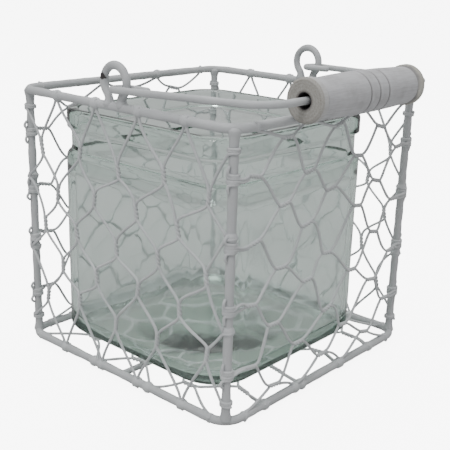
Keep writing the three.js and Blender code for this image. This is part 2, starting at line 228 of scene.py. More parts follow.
def sweep(path, radius, sides, closed=False):
    """Vertices and faces of a round wire along a path. An open wire gets domed ends."""
    path = np.asarray(path, float)
    radius = np.broadcast_to(np.asarray(radius, float), len(path)).copy()
    if not closed:
        dome = np.radians([90, 62, 35, 12])
        first = path[0] - path[1]
        last = path[-1] - path[-2]
        first /= np.linalg.norm(first)
        last /= np.linalg.norm(last)
        head = path[0] + first * (0.8 * radius[0] * np.sin(dome))[:, None]
        tail = path[-1] + last * (0.8 * radius[-1] * np.sin(dome[::-1]))[:, None]
        path = np.vstack([head, path, tail])
        radius = np.concatenate([
            np.maximum(radius[0] * np.cos(dome), 0.02),
            radius,
            np.maximum(radius[-1] * np.cos(dome[::-1]), 0.02),
        ])
    if closed:
        tangent = np.roll(path, -1, axis=0) - np.roll(path, 1, axis=0)
    else:
        tangent = np.gradient(path, axis=0)
    tangent /= np.linalg.norm(tangent, axis=1)[:, None]
    normal = np.cross(tangent[0], [0.31, 0.17, 0.93])
    normal /= np.linalg.norm(normal)
    normals = []
    for direction in tangent:
        normal = normal - direction * (normal @ direction)
        normal /= np.linalg.norm(normal)
        normals.append(normal)
    normals = np.array(normals)
    binormals = np.cross(tangent, normals)
    if closed:  # spreads the frame's leftover turn evenly, so that the last ring meets the first
        last = normals[-1] - tangent[0] * (normals[-1] @ tangent[0])
        left_over = math.atan2(last @ binormals[0], last @ normals[0])
        spin = -left_over * np.arange(len(path)) / len(path)
    else:
        spin = np.zeros(len(path))
    angle = spin[:, None] + 2 * math.pi * np.arange(sides) / sides
    across = np.cos(angle)[..., None] * normals[:, None] + np.sin(angle)[..., None] * binormals[:, None]
    vertices = (path[:, None] + radius[:, None, None] * across).reshape(-1, 3)
    faces = grid_faces(len(path), sides, closed)
    if not closed:
        end = (len(path) - 1) * sides
        faces.append(list(range(sides))[::-1])
        faces.append([end + side for side in range(sides)])
    return vertices, faces


def add_mesh(name, shells, material, body, slot, *nodes):
    """One piece from closed shells of (vertices in millimetres, faces). It stands for the given nodes."""
    vertices, faces, start = [], [], 0
    for shell_vertices, shell_faces in shells:
        vertices.append(shell_vertices)
        faces += [[start + corner for corner in face] for face in shell_faces]
        start += len(shell_vertices)
    mesh = bpy.data.meshes.new(name)
    mesh.from_pydata((np.vstack(vertices) * MM).tolist(), [], faces)
    mesh.polygons.foreach_set("use_smooth", [True] * len(mesh.polygons))
    mesh.materials.append(material)
    mesh.validate()
    piece = bpy.data.objects.new(name, mesh)
    bpy.context.scene.collection.objects.link(piece)
    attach(piece, body)
    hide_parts(*nodes)
    return piece


def arc(centre, radius, start, end, steps):
    """Points of an arc in a plane, both ends included."""
    angles = np.linspace(start, end, steps + 1)
    return np.stack([centre[0] + radius * np.cos(angles), centre[1] + radius * np.sin(angles)], axis=1)


def resample(path, step, closed=False):
    """The same path with points at even distances."""
    path = np.asarray(path, float)
    if closed:
        path = np.vstack([path, path[:1]])
    along = np.concatenate([[0], np.cumsum(np.linalg.norm(np.diff(path, axis=0), axis=1))])
    count = max(int(round(along[-1] / step)), 2)
    places = np.linspace(0, along[-1], count + 1)
    if closed:
        places = places[:-1]
    return np.stack([np.interp(places, along, path[:, axis]) for axis in range(3)], axis=1)


def softened(path, rounds, closed=False):
    """The path with its corners eased."""
    path = np.array(path, float)
    for _ in range(rounds):
        if closed:
            path = (np.roll(path, 1, axis=0) + 2 * path + np.roll(path, -1, axis=0)) / 4
        else:
            path[1:-1] = (path[:-2] + 2 * path[1:-1] + path[2:]) / 4
    return path


def round_wire(path, diameter, sides, seed, closed=False, welds=()):
    """A painted wire with its lumps, swollen where a weld holds one of its ends: 0 the first, -1 the last."""
    along = np.concatenate([[0], np.cumsum(np.linalg.norm(np.diff(path, axis=0), axis=1))])
    radius = np.full(len(path), diameter / 2)
    for end in welds:
        radius += WELD_SWELL * np.exp(-((np.abs(along - along[end]) / WELD_REACH) ** 2))
    radius *= 1 + PAINT_LUMP * waves(path, seed, 9)
    return sweep(path, radius, sides, closed)


# ---------------------------------------------------------------- materials

def new_material(name):
    material = bpy.data.materials.new(name)
    material.use_nodes = True
    tree = material.node_tree
    shader = next(node for node in tree.nodes if node.type == "BSDF_PRINCIPLED")
    return material, tree, shader


def add_node(tree, kind, **values):
    """A node with attributes set by name, and inputs by the names in its values dictionary."""
    made = tree.nodes.new(kind)
    for key, value in values.pop("inputs", {}).items():
        made.inputs[key].default_value = value
    for key, value in values.items():
        setattr(made, key, value)
    return made


def noise_at(tree, place, scale, detail=4.0, roughness=0.55, distortion=0.0):
    made = add_node(
        tree,
        "ShaderNodeTexNoise",
        inputs={"Scale": scale, "Detail": detail, "Roughness": roughness, "Distortion": distortion},
    )
    tree.links.new(place, made.inputs["Vector"])
    return made.outputs["Fac"]


def ramp(tree, source, stops):
    """A colour ramp from (place, colour) pairs, colours as three numbers or one."""
    made = tree.nodes.new("ShaderNodeValToRGB")
    elements = made.color_ramp.elements
    while len(elements) < len(stops):
        elements.new(0.5)
    for element, (place, colour) in zip(elements, stops):
        colour = colour if isinstance(colour, (tuple, list)) else (colour,) * 3
        element.position = place
        element.color = (*colour, 1)
    tree.links.new(source, made.inputs["Fac"])
    return made.outputs["Color"]


def mix(tree, share, first, second):
    """first where share is 0 and second where it is 1; each a socket or a colour."""
    made = add_node(tree, "ShaderNodeMix", data_type="RGBA")
    tree.links.new(share, made.inputs["Factor"])
    for socket, value in ((made.inputs[6], first), (made.inputs[7], second)):
        if isinstance(value, (tuple, list)):
            socket.default_value = (*value, 1)
        else:
            tree.links.new(value, socket)
    return made.outputs[2]


def maths(tree, operation, *values):
    made = add_node(tree, "ShaderNodeMath", operation=operation)
    for socket, value in zip(made.inputs, values):
        if isinstance(value, (int, float)):
            socket.default_value = value
        else:
            tree.links.new(value, socket)
    return made.outputs[0]


def bump(tree, shader, height, distance, strength=1.0):
    made = add_node(tree, "ShaderNodeBump", inputs={"Strength": strength, "Distance": distance})
    tree.links.new(height, made.inputs["Height"])
    tree.links.new(made.outputs["Normal"], shader.inputs["Normal"])


def object_place(tree):
    return tree.nodes.new("ShaderNodeTexCoord").outputs["Object"]


def paint_material(name, tone, chip=None):
    """Thick satin grey-white paint on wire, a little dirty and lumpy, with a chip at one place if given."""
    material, tree, shader = new_material(name)
    place = object_place(tree)
    broad = noise_at(tree, place, 55, 3)
    fine = noise_at(tree, place, 900, 5, 0.65)
    clean = ramp(tree, broad, [
        (0.3, (0.9 * tone, 0.93 * tone, 0.95 * tone)),
        (0.7, (1.07 * tone, 1.1 * tone, 1.12 * tone)),
    ])
    specks = ramp(tree, fine, [(0.66, 0.0), (0.8, 1.0)])
    colour = mix(tree, specks, clean, DIRT)
    if chip is not None:
        away = add_node(tree, "ShaderNodeVectorMath", operation="DISTANCE")
        tree.links.new(place, away.inputs[0])
        away.inputs[1].default_value = chip
        ragged = maths(tree, "ADD", away.outputs["Value"], maths(tree, "MULTIPLY", fine, 0.0025))
        bare = ramp(tree, maths(tree, "MULTIPLY", ragged, 200), [(0.5, 1.0), (0.62, 0.0)])
        colour = mix(tree, bare, colour, BARE_WIRE)
    tree.links.new(colour, shader.inputs["Base Color"])
    gloss = ramp(tree, noise_at(tree, place, 260, 3), [(0.3, 0.42), (0.75, 0.62)])
    tree.links.new(gloss, shader.inputs["Roughness"])
    shader.inputs["Specular IOR Level"].default_value = 0.45
    height = maths(tree, "ADD", noise_at(tree, place, 420, 3), maths(tree, "MULTIPLY", fine, 0.35))
    bump(tree, shader, height, 0.0003, 0.5)
    return material


def wood_material():
    """Whitewashed wood with faint grain along X, worn at its edges, bare end grain, and painted shade in the
    grooves and in the bore.
    """
    material, tree, shader = new_material("whitewashed_wood")
    place = object_place(tree)
    low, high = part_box("wood_grip")
    middle = (low + high) / 2
    from_middle = add_node(tree, "ShaderNodeVectorMath", operation="SUBTRACT")
    tree.links.new(place, from_middle.inputs[0])
    from_middle.inputs[1].default_value = middle
    parts = tree.nodes.new("ShaderNodeSeparateXYZ")
    tree.links.new(from_middle.outputs[0], parts.inputs[0])
    stretched = add_node(tree, "ShaderNodeMapping")
    stretched.inputs["Scale"].default_value = (0.06, 1, 1)
    tree.links.new(from_middle.outputs[0], stretched.inputs["Vector"])
    grain = noise_at(tree, stretched.outputs[0], 1500, 5, 0.6)
    blotch = noise_at(tree, from_middle.outputs[0], 160, 4)
    wash = ramp(tree, grain, [(0.3, (0.375, 0.375, 0.39)), (0.62, (0.5, 0.505, 0.52))])
    dirt = ramp(tree, blotch, [(0.35, (0.36, 0.355, 0.36)), (0.6, (0.51, 0.51, 0.525))])
    washed = mix(tree, ramp(tree, blotch, [(0.3, 0.65), (0.7, 0.15)]), wash, dirt)
    # rings about the axis, on the ends
    round_axis = maths(
        tree,
        "SQRT",
        maths(
            tree,
            "ADD",
            maths(tree, "MULTIPLY", parts.outputs["Y"], parts.outputs["Y"]),
            maths(tree, "MULTIPLY", parts.outputs["Z"], parts.outputs["Z"]),
        ),
    )
    ringed = maths(tree, "ADD", maths(tree, "MULTIPLY", round_axis, 5200), maths(tree, "MULTIPLY", blotch, 5))
    rings = ramp(
        tree,
        maths(tree, "MULTIPLY", maths(tree, "ADD", maths(tree, "SINE", ringed), 1.0), 0.5),
        [(0.1, (0.325, 0.315, 0.29)), (0.8, (0.365, 0.36, 0.34))],
    )
    pores = noise_at(tree, from_middle.outputs[0], 2600, 4, 0.7)
    end_grain = mix(tree, ramp(tree, pores, [(0.45, 0.0), (0.7, 1.0)]), rings, (0.21, 0.19, 0.165))
    # painted shade round the mouth of the bore, on the end grain
    bore_mouth_shade = ramp(tree, maths(tree, "MULTIPLY", round_axis, 100), [(0.3, 1.0), (0.42, 0.0)])
    end_grain = mix(tree, bore_mouth_shade, end_grain, (0.05, 0.04, 0.04))
    half_length = (high.x - low.x) / 2
    along = maths(tree, "ABSOLUTE", parts.outputs["X"])
    wobble = maths(tree, "MULTIPLY", maths(tree, "SUBTRACT", blotch, 0.5), 0.0012)
    past = maths(tree, "SUBTRACT", maths(tree, "ADD", along, wobble), half_length - 1.2 * MM)
    at_end = ramp(tree, maths(tree, "MULTIPLY", past, 1000), [(0.0, 0.0), (0.5, 1.0)])
    # the beads are worn to the cream wood, the far one more; the grooves and the necks beside the beads are
    # darkened with painted shade
    bead = maths(tree, "SUBTRACT", maths(tree, "ADD", along, wobble), half_length - GRIP_BEAD * MM)
    on_bead = ramp(tree, maths(tree, "MULTIPLY", bead, 1000), [(0.0, 0.0), (0.5, 1.0)])
    far_side = ramp(tree, maths(tree, "MULTIPLY", parts.outputs["X"], 30), [(0.0, 0.25), (0.5, 0.85)])
    worn = ramp(tree, blotch, [(0.3, (0.36, 0.345, 0.295)), (0.65, (0.47, 0.46, 0.41))])
    colour = mix(tree, maths(tree, "MULTIPLY", on_bead, far_side), washed, worn)
    # painted shade in each groove
    for groove in GRIP_GROOVES:
        away = maths(tree, "ABSOLUTE", maths(tree, "SUBTRACT", parts.outputs["X"], groove * MM))
        groove_shade = ramp(tree, maths(tree, "MULTIPLY", away, 1000), [(0.25, 0.85), (0.75, 0.0)])
        colour = mix(tree, groove_shade, colour, (0.17, 0.165, 0.165))
    # painted shade in the groove between the barrel and each bead
    neck = maths(tree, "ABSOLUTE", bead)
    neck_groove_shade = ramp(tree, maths(tree, "MULTIPLY", neck, 1000), [(0.1, 0.7), (0.7, 0.0)])
    colour = mix(tree, neck_groove_shade, colour, (0.2, 0.195, 0.19))
    colour = mix(tree, at_end, colour, end_grain)
    # painted shade inside the bore
    bore = ramp(tree, maths(tree, "MULTIPLY", round_axis, 100), [(0.31, 1.0), (0.33, 0.0)])
    colour = mix(tree, bore, colour, (0.02, 0.016, 0.018))
    tree.links.new(colour, shader.inputs["Base Color"])
    rough = ramp(tree, grain, [(0.3, 0.72), (0.7, 0.58)])
    tree.links.new(rough, shader.inputs["Roughness"])
    shader.inputs["Specular IOR Level"].default_value = 0.35
    height = maths(tree, "ADD", grain, maths(tree, "MULTIPLY", blotch, 0.6))
    bump(tree, shader, height, 0.00025, 0.55)
    return material


def glass_material():
    """Cheap pressed glass: pale green where it is thick, grey and a little hazy in the walls."""
    material, tree, shader = new_material("green_tinted_glass")
    shader.inputs["Base Color"].default_value = (0.985, 0.99, 0.99, 1)
    shader.inputs["Transmission Weight"].default_value = 1.0
    shader.inputs["IOR"].default_value = 1.5
    place = object_place(tree)
    parts = tree.nodes.new("ShaderNodeSeparateXYZ")
    tree.links.new(place, parts.inputs[0])
    smudge = ramp(tree, noise_at(tree, place, 45, 4, 0.6), [(0.35, 0.03), (0.75, 0.13)])
    below = maths(tree, "MULTIPLY", maths(tree, "SUBTRACT", parts.outputs["Z"], jar_low[2] * MM), 100)
    stippled = ramp(tree, below, [(0.05, 1.0), (0.1, 0.0)])
    tree.links.new(mix(tree, stippled, smudge, (UNDERSIDE_ROUGHNESS,) * 3), shader.inputs["Roughness"])
    bump(tree, shader, noise_at(tree, place, 70, 2, 0.4, 0.6), 0.0006, 0.3)
    absorb = tree.nodes.new("ShaderNodeVolumeAbsorption")
    absorb.inputs["Color"].default_value = (*GLASS_ABSORPTION, 1)
    absorb.inputs["Density"].default_value = GLASS_DENSITY
    output = next(node for node in tree.nodes if node.type == "OUTPUT_MATERIAL")
    tree.links.new(absorb.outputs[0], output.inputs["Volume"])
    return material


# ---------------------------------------------------------------- frame wires

def rounded_square_path(half_width, bend, z, steps):
    inner = half_width - bend
    corners = []
    for quarter in range(4):
        start = quarter * math.pi / 2
        centre = (
            inner * (1 if quarter in (0, 3) else -1),
            inner * (1 if quarter in (0, 1) else -1),
        )
        corners.append(arc(centre, bend, start, start + math.pi / 2, steps))
    flat = np.vstack(corners)
    return np.column_stack([flat, np.full(len(flat), z)])


def add_frame_wires(paint, chipped):
    for name, z, seed in (("bottom_rim", bottom_z, 1), ("top_rim", top_z, 2)):
        path = resample(rounded_square_path(half, RIM_BEND, z, steps=12), step=1.6, closed=True)
        shell = round_wire(path, 2 * wire_radius, FRAME_WIRE_SIDES, seed, closed=True)
        add_mesh(f"{name}_wire", [shell], paint, "basket", "painted_wire", name)
    seed = 3
    for depth, y in (("front", -1), ("back", 1)):
        for side, x in (("left", -1), ("right", 1)):
            foot = (x * post_place, y * post_place, bottom_z + POST_BITE * wire_radius)
            head = (x * post_place, y * post_place, top_z - POST_BITE * wire_radius)
            path = resample([foot, head], step=1.2)
            shell = round_wire(path, 2 * wire_radius, FRAME_WIRE_SIDES, seed, welds=(0, -1))
            name = f"post_{depth}_{side}"
            add_mesh(f"{name}_wire", [shell], paint, "basket", "painted_wire", name)
            seed += 1
    bar_z = box_mm("base_crossbar")[0][2] + 0.54 * CROSSBAR_WIRE
    reach = half - 0.7 * wire_radius
    path = resample([(-reach, 0, bar_z), (reach, 0, bar_z)], step=1.6)
    shell = round_wire(path, CROSSBAR_WIRE, sides=16, seed=seed)
    add_mesh("base_crossbar_wire", [shell], paint, "basket", "painted_wire", "base_crossbar")
    for side, x in (("left", -1), ("right", 1)):
        seed += 1
        add_ear(side, x * half, chipped if side == "left" else paint, seed)


def add_ear(side, x, material, seed):
    low, high = box_mm(f"bail_ear_{side}")
    eye_radius = (high[1] - low[1]) / 2 - EAR_WIRE / 2
    eye_z = high[2] - EAR_WIRE / 2 - eye_radius
    foot_z = top_z + 0.5 * wire_radius
    eye = arc((0, eye_z), eye_radius, -EAR_OPENING, math.pi + EAR_OPENING, steps=40)
    legs = [(EAR_FOOT, foot_z), (EAR_FOOT, foot_z + EAR_LEG)]
    outline = legs + eye.tolist() + [(-y, z) for y, z in reversed(legs)]
    path = softened(resample([(x, y, z) for y, z in outline], step=0.6), rounds=3)
    shell = round_wire(path, EAR_WIRE, SMALL_WIRE_SIDES, seed, welds=(0, -1))
    add_mesh(f"bail_ear_{side}_wire", [shell], material, "basket", "painted_wire", f"bail_ear_{side}")


# ---------------------------------------------------------------- bail and grip

def add_bail(paint):
    """One wire in a plane through the pivot, each end hooked through an ear."""
    to_grip = grip_axis - pivot
    reach = math.hypot(to_grip[1], to_grip[2])
    lie = math.atan2(to_grip[2], -to_grip[1])
    hook = arc((half, -HOOK_RADIUS), HOOK_RADIUS, math.pi, 0, steps=24)
    arm_start = np.array([half + HOOK_RADIUS, -HOOK_RADIUS])
    arm_end = np.array([BAIL_HALF_WIDTH, BAIL_BEND - reach])
    lean = math.atan2(arm_start[0] - arm_end[0], arm_start[1] - arm_end[1])
    centre = (BAIL_HALF_WIDTH - BAIL_BEND * math.cos(lean), BAIL_BEND - reach)
    bend = arc(centre, BAIL_BEND, -lean, -math.pi / 2, steps=20)
    side = np.vstack([[(half - HOOK_RADIUS, -HOOK_LENGTH)], hook, bend])
    outline = np.vstack([side, side[::-1] * (-1, 1)])
    flat = np.column_stack([outline, np.zeros(len(outline))])
    path = softened(resample(flat, step=0.9), rounds=4)
    turned = np.column_stack([
        path[:, 0],
        path[:, 1] * math.cos(lie),
        -path[:, 1] * math.sin(lie),
    ]) + pivot
    shell = round_wire(turned, BAIL_WIRE, SMALL_WIRE_SIDES, seed=21)
    add_mesh("bail_handle_wire", [shell], paint, "bail", "painted_wire", "bail_wire")


def lathe(profile, sides, centre):
    """A closed solid of revolution about the X axis from points (x, radius)."""
    profile = np.array(profile, float)
    angle = 2 * math.pi * np.arange(sides) / sides
    x = np.repeat(profile[:, 0], sides)
    radius = np.repeat(profile[:, 1], sides)
    turn = np.tile(angle, len(profile))
    vertices = np.column_stack([x, radius * np.cos(turn), radius * np.sin(turn)]) + centre
    return vertices, grid_faces(len(profile), sides, closed=True)


def add_grip(wood):
    low, high = box_mm("wood_grip")
    end = (high[0] - low[0]) / 2
    full = (high[2] - low[2]) / 2
    neck = end - GRIP_BEAD
    bore = GRIP_BORE / 2

    def surface(x):
        radius = full - GRIP_NECK * (x / neck) ** 2
        for groove in GRIP_GROOVES:
            radius -= GROOVE_DEPTH * math.exp(-(((x - groove) / GROOVE_HALF_WIDTH) ** 2))
        on_bead = np.clip((abs(x) - neck) / 0.7, 0, 1)
        radius += (full - radius) * on_bead**2 * (3 - 2 * on_bead)
        return radius - GROOVE_DEPTH * math.exp(-(((abs(x) - neck) / NECK_GROOVE_HALF_WIDTH) ** 2)) / 2

    edge = end - GRIP_CHAMFER
    xs = set(np.linspace(-edge, edge, 60).tolist())
    for groove in [*GRIP_GROOVES, -neck, neck]:
        xs |= set((groove + np.linspace(-1.6, 1.6, 17)).tolist())
    side = [(x, surface(x)) for x in sorted(xs) if -edge <= x <= edge]
    rim = surface(edge)
    chamfer = [
        (edge + GRIP_CHAMFER * share, rim - GRIP_CHAMFER * share**1.6)
        for share in (0.2, 0.45, 0.7, 0.9, 1)
    ]
    face = [(end, radius) for radius in np.linspace(rim - 1.15 * GRIP_CHAMFER, bore + 0.5, 7)]
    mouth = [(end - 0.1, bore + 0.2), (end - 0.4, bore), (end - 3, bore)]
    right = chamfer + face + mouth
    left = [(-x, radius) for x, radius in reversed(right)]
    hole = [(x, bore) for x in (end / 2, 0, -end / 2)]
    profile = side + right + hole + left
    vertices, faces = lathe(profile[::-1], sides=96, centre=grip_axis)
    out = vertices - grip_axis
    out[:, 0] = 0
    distance = np.linalg.norm(out, axis=1)
    outside = np.clip((distance - 5) / 2, 0, 1)
    uneven = GRIP_WAVE * outside * waves(vertices, seed=5, length=14)
    vertices += out / distance[:, None] * uneven[:, None]
    add_mesh("turned_grip", [(vertices, faces)], wood, "grip", "whitewashed_wood", "wood_grip")


# ---------------------------------------------------------------- netting

def scatter(column, row, seed):
    """An even-looking number between -1 and 1 that depends only on the place in the netting."""
    wave = math.sin(column * 12.9898 + row * 78.233 + seed * 37.719) * 43758.5453
    return 2 * (wave - math.floor(wave)) - 1


def twist(column, row, seed):
    """The middle of a twist, and half of what its top is ahead of its bottom."""
    across = (column + (0.5 if row % 2 else 0)) * CELL_PITCH + CELL_WANDER * scatter(column, row, seed)
    along = row * ROW_PITCH + CELL_WANDER * scatter(column, row, seed + 1)
    tilt = 0.35 * CELL_WANDER * scatter(column, row, seed + 2)
    return np.array([across, along, 0.0]), np.array([tilt, TWIST_LENGTH / 2, 0.0])


def twisted_stretch(column, row, seed, on_left):
    """One wire's way through a twist, upwards, round the other wire."""
    middle, up = twist(column, row, seed)
    steps = 11 * TWIST_TURNS
    share = np.linspace(-1, 1, steps + 1)
    angle = (math.pi if on_left else 0) + math.pi * TWIST_TURNS * (share + 1)
    path = middle + share[:, None] * up
    path[:, 0] += TWIST_RADIUS * np.cos(angle)
    path[:, 2] += TWIST_RADIUS * np.sin(angle)
    return path


def bearing(before, after):
    away = after - before
    return away / np.linalg.norm(away)


def strand(start, start_way, end, end_way, seed, index):
    """A stretch between two twists, its ends left out. It leaves and meets them nearly along their ways."""
    share = np.linspace(0, 1, 11)[1:-1, None]
    handle = STRAND_HANDLE * np.linalg.norm(end - start)
    first, second = start + start_way * handle, end - end_way * handle
    path = (
        (1 - share) ** 3 * start
        + 3 * (1 - share) ** 2 * share * first
        + 3 * (1 - share) * share**2 * second
        + share**3 * end
    )
    bow = np.sin(math.pi * share)
    path[:, :1] += STRAND_BOW * scatter(index, 1, seed) * bow
    path[:, 1:2] += 0.6 * STRAND_BOW * scatter(index, 3, seed) * bow
    path[:, 2:] += 0.5 * STRAND_BOW * scatter(index, 2, seed) * bow
    return path


def wound(where, axis, wire, turns, drift, tail):
    """A way round a frame wire (place, depth, winding), which runs along axis 0 or 1 of the panel, at its
    place on the other axis. The way drifts along the frame wire, and a tail lifts its end off."""
    place, depth, winding = wire
    count = int(WINDING_STEPS * turns)
    share = np.linspace(0, 1, count + 1)
    angle = winding["start"] - 2 * math.pi * turns * share
    lift = np.clip((share * turns - turns + 0.2) / 0.2, 0, 1) ** 2
    radius = wire_radius + winding["off"] * NET_WIRE + tail * lift
    outward = math.copysign(1, place)
    path = np.zeros((count + 1, 3))
    path[:, axis] = where + drift * NET_WIRE * turns * share
    path[:, 1 - axis] = place + outward * radius * np.cos(angle)
    path[:, 2] = depth + radius * np.sin(angle)
    return path


def half_loop(end, axis, wire, out, reach):
    """A loose end, which bulges away from the frame wire and comes back to it further along."""
    share = np.linspace(0, 1, 10)[1:]
    off = np.zeros(3)
    off[1 - axis] = math.copysign(1, wire[0])
    path = end + off * (out * np.sin(math.pi * share))[:, None]
    path[:, axis] += reach * share
    return path


def lump(where, axis, wire, seed):
    """Paint that has gathered over the wires wound round one place of the frame."""
    share = np.linspace(-1, 1, 15)
    path = np.zeros((15, 3))
    path[:, axis] = where + LUMP_REACH * share
    path[:, 1 - axis] = wire[0]
    path[:, 2] = wire[1]
    swell = (1 - share**2) ** 1.5 * (1 + 0.25 * waves(path, seed, 5))
    return sweep(path, wire_radius * 0.96 + LUMP_HEIGHT * swell, sides=16)


def netting_wire(number, across_wire, along_wire, seed):
    """The path of one of a panel's wires, from one end to the other. Twists lie along axis 1. across_wire is
    the frame wire (place, depth, winding) beside the twists, along_wire the one past their last row."""
    keeps_last_twist = along_wire[0] - LAST_ROW * ROW_PITCH - TWIST_LENGTH / 2 > 5
    up = np.array([0.0, 1.0, 0.0])
    on_posts = along_wire[2] is POST_WINDING
    way = []  # of (path, direction at its start, direction at its end)
    for row in range(-LAST_ROW, LAST_ROW + 1):
        side = -1 if row < 0 else 1
        odd = row % 2
        column = (number - odd) // 2
        on_left = (number - odd) % 2 == 0
        middle, lean = twist(column, row, seed)
        lean /= np.linalg.norm(lean)
        at_end = abs(row) == LAST_ROW
        if odd and not -LAST_COLUMN <= column < LAST_COLUMN:
            edge = (math.copysign(across_wire[0], middle[0]), *across_wire[1:])
            turns = edge[2]["turns"]
            if at_end:
                turned = wound(side * (along_wire[0] - CORNER_HOLD), 1, edge, turns, side * 0.6, 0.3)
                way.append((turned, up, up) if side > 0 else (turned[::-1], up, up))
            else:
                turned = wound(middle[1] - 1, 1, edge, 1, 1, 0)
                way.append((turned, bearing(turned[0], turned[1]), bearing(turned[-2], turned[-1])))
        elif at_end:
            spread = -1 if on_left else 1
            where = middle[0] + 0.5 * spread
            wire = (side * along_wire[0], *along_wire[1:])
            turned = wound(where, 0, wire, wire[2]["turns"], 0.45 * spread, 0 if on_posts else 0.3)
            if on_posts:
                bulge = LOOP_BULGE[0] + LOOP_BULGE[1] * scatter(number, row, seed + 4)
                loop = half_loop(turned[-1], 0, wire, bulge, LOOP_REACH * spread)
                turned = np.vstack([turned, loop])
            if keeps_last_twist:
                twisted = twisted_stretch(column, row, seed, on_left)
                end = [(twisted, lean, lean), (turned, lean, lean)]
            else:
                end = [(turned, up, up)]
            if side < 0:
                end = [(path[::-1], first, last) for path, first, last in reversed(end)]
                if keeps_last_twist:
                    end[1] = (twisted, lean, lean)
            way += end
        else:
            way.append((twisted_stretch(column, row, seed, on_left), lean, lean))
    path = [way[0][0]]
    for index, (stretch, first, last) in enumerate(way[1:]):
        before = way[index]
        path.append(strand(before[0][-1], before[2], stretch[0], first, seed, 31 * number + index))
        path.append(stretch)
    return softened(np.vstack(path), rounds=2)


def netting_panel(across_wire, along_wire, seed, to_frame):
    """Shells of one panel's wires. to_frame turns panel coordinates to the frame's."""
    shells = []
    for number in range(-2 * LAST_COLUMN, 2 * LAST_COLUMN + 2):
        path = netting_wire(number, across_wire, along_wire, seed)
        radius = NET_WIRE / 2 * (1 + NET_LUMP * waves(path, seed + number, 6))
        shells.append(sweep(to_frame(path), radius, sides=8))
    for side in (-1, 1):
        for column in range(-LAST_COLUMN, LAST_COLUMN):
            middle, _ = twist(column, side * LAST_ROW, seed)
            vertices, faces = lump(middle[0], 0, (side * along_wire[0], along_wire[1]), seed + column)
            shells.append((to_frame(vertices), faces))
        for row in (-1, 1):
            middle, _ = twist(LAST_COLUMN if side > 0 else -LAST_COLUMN - 1, row, seed)
            vertices, faces = lump(middle[1] - 0.5, 1, (side * across_wire[0], across_wire[1]), seed + row)
            shells.append((to_frame(vertices), faces))
    return shells


def add_netting(paint):
    post = (post_place, post_place - side_out, POST_WINDING)
    rim = (top_z - middle_z, half - side_out, RIM_WINDING)
    for index, side in enumerate(("front", "right", "back", "left")):
        twists_level = index % 2 == 0
        turn = index * math.pi / 2

        def to_frame(path, twists_level=twists_level, turn=turn):
            u, v, w = path.T if not twists_level else path.T[[1, 0, 2]]
            x, y = u, -(side_out + w)
            return np.column_stack([
                x * math.cos(turn) - y * math.sin(turn),
                x * math.sin(turn) + y * math.cos(turn),
                v + middle_z,
            ])

        wires = (rim, post) if twists_level else (post, rim)
        shells = netting_panel(*wires, index + 1, to_frame)
        name = f"netting_{side}"
        add_mesh(f"{name}_wires", shells, paint, "basket", "painted_netting", name)
    base_z = jar_low[2] - 0.3 - NET_WIRE / 2 - BASE_NET_SINK
    wire = (half, bottom_z - base_z, RIM_WINDING)
    shells = netting_panel(wire, wire, 5, lambda path: path + (0, 0, base_z))
    add_mesh("netting_base_wires", shells, paint, "basket", "painted_netting", "netting_base")


# ---------------------------------------------------------------- jar

def square_ring(half_width, corner, z):
    """A closed ring of points round a square with round corners: the same number whatever its size."""
    inner = half_width - corner
    ring = []
    for quarter in range(4):
        turn = quarter * math.pi / 2
        bend = arc((inner, inner), corner, 0, math.pi / 2, steps=16)
        side = np.column_stack([
            np.linspace(inner, -inner, 13)[1:-1],
            np.full(11, half_width),
        ])
        part = np.vstack([bend, side])
        cos, sin = math.cos(turn), math.sin(turn)
        ring.append(np.column_stack([
            part[:, 0] * cos - part[:, 1] * sin,
            part[:, 0] * sin + part[:, 1] * cos,
        ]))
    flat = np.vstack(ring)
    return np.column_stack([flat, np.full(len(flat), z)])


